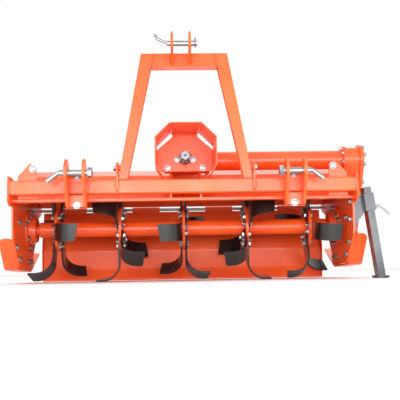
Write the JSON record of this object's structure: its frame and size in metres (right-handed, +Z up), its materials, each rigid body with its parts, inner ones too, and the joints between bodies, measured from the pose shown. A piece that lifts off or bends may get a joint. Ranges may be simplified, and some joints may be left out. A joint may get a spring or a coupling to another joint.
{
  "type": "tractor rotavator",
  "caption": "Tractor-mounted rotavator with curved blades on a flanged rotor, folded hood, rear flap, skids, three-point mast, splined input shaft and parking stand.",
  "frame": {"origin": "centre of the footprint on the ground", "axes": "+Z up, +Y to the rear, +X to the side of the drive case, which is right in a view from the front"},
  "size_m": [1.4402, 0.721, 0.886],
  "materials": {
    "orange_paint": "gloss",
    "black_paint": "satin",
    "grey_paint": "satin",
    "zinc": "satin",
    "shaft_steel": "satin"
  },
  "bodies": {
    "frame": {"bearing_cap": "orange_paint", "bearing_left": "orange_paint", "bearing_right": "orange_paint", "cross_housing": "orange_paint", "drive_case": "orange_paint", "gearbox": "orange_paint", "gearbox_carrier": "orange_paint", "gearbox_mount": "orange_paint", "hinge_rod": "zinc", "hinge_tabs": "orange_paint", "hitch_bracket_left": "orange_paint", "hitch_bracket_right": "orange_paint", "hitch_pin_left": "zinc", "hitch_pin_right": "zinc", "hood": "orange_paint", "hood_lip": "orange_paint", "main_tube": "orange_paint", "mast_beam": "orange_paint", "mast_leg_left": "orange_paint", "mast_leg_right": "orange_paint", "mast_lugs": "orange_paint", "pto_shield": "orange_paint", "side_plate_left": "orange_paint", "side_plate_right": "orange_paint", "skid_left": "orange_paint", "skid_right": "orange_paint", "stand_bracket": "grey_paint", "stand_pin": "zinc", "top_link_ears": "orange_paint", "top_link_pin": "zinc", "tube_clamps": "orange_paint"},
    "rotor": {"rotor_tube": "orange_paint", "rotor_flanges": "orange_paint", "tines": "black_paint"},
    "input_shaft": {"pto_shaft": "shaft_steel"},
    "flap": {"rear_flap": "orange_paint"},
    "stand": {"stand_leg": "grey_paint"}
  },
  "joints": [
    {"name": "rotor_spin", "type": "hinge", "parent": "frame", "child": "rotor", "pos_m": [-0.04408, 0.0865, 0.21], "axis": [1, 0, 0], "continuous": true},
    {"name": "pto_spin", "type": "hinge", "parent": "frame", "child": "input_shaft", "pos_m": [-0.03808, -0.1735, 0.456], "axis": [0, 1, 0], "continuous": true},
    {"name": "flap_hinge", "type": "hinge", "parent": "frame", "child": "flap", "pos_m": [-0.04408, 0.3445, 0.308], "axis": [1, 0, 0], "range_deg": [0, 50]},
    {"name": "stand_slide", "type": "slide", "parent": "frame", "child": "stand", "axis": [-0.1323, 0, 0.9912], "range_m": [0, 0.09]}
  ],
  "couplings": [
    {"joint": "pto_spin", "follows": "rotor_spin", "ratio": 2.5}
  ]
}
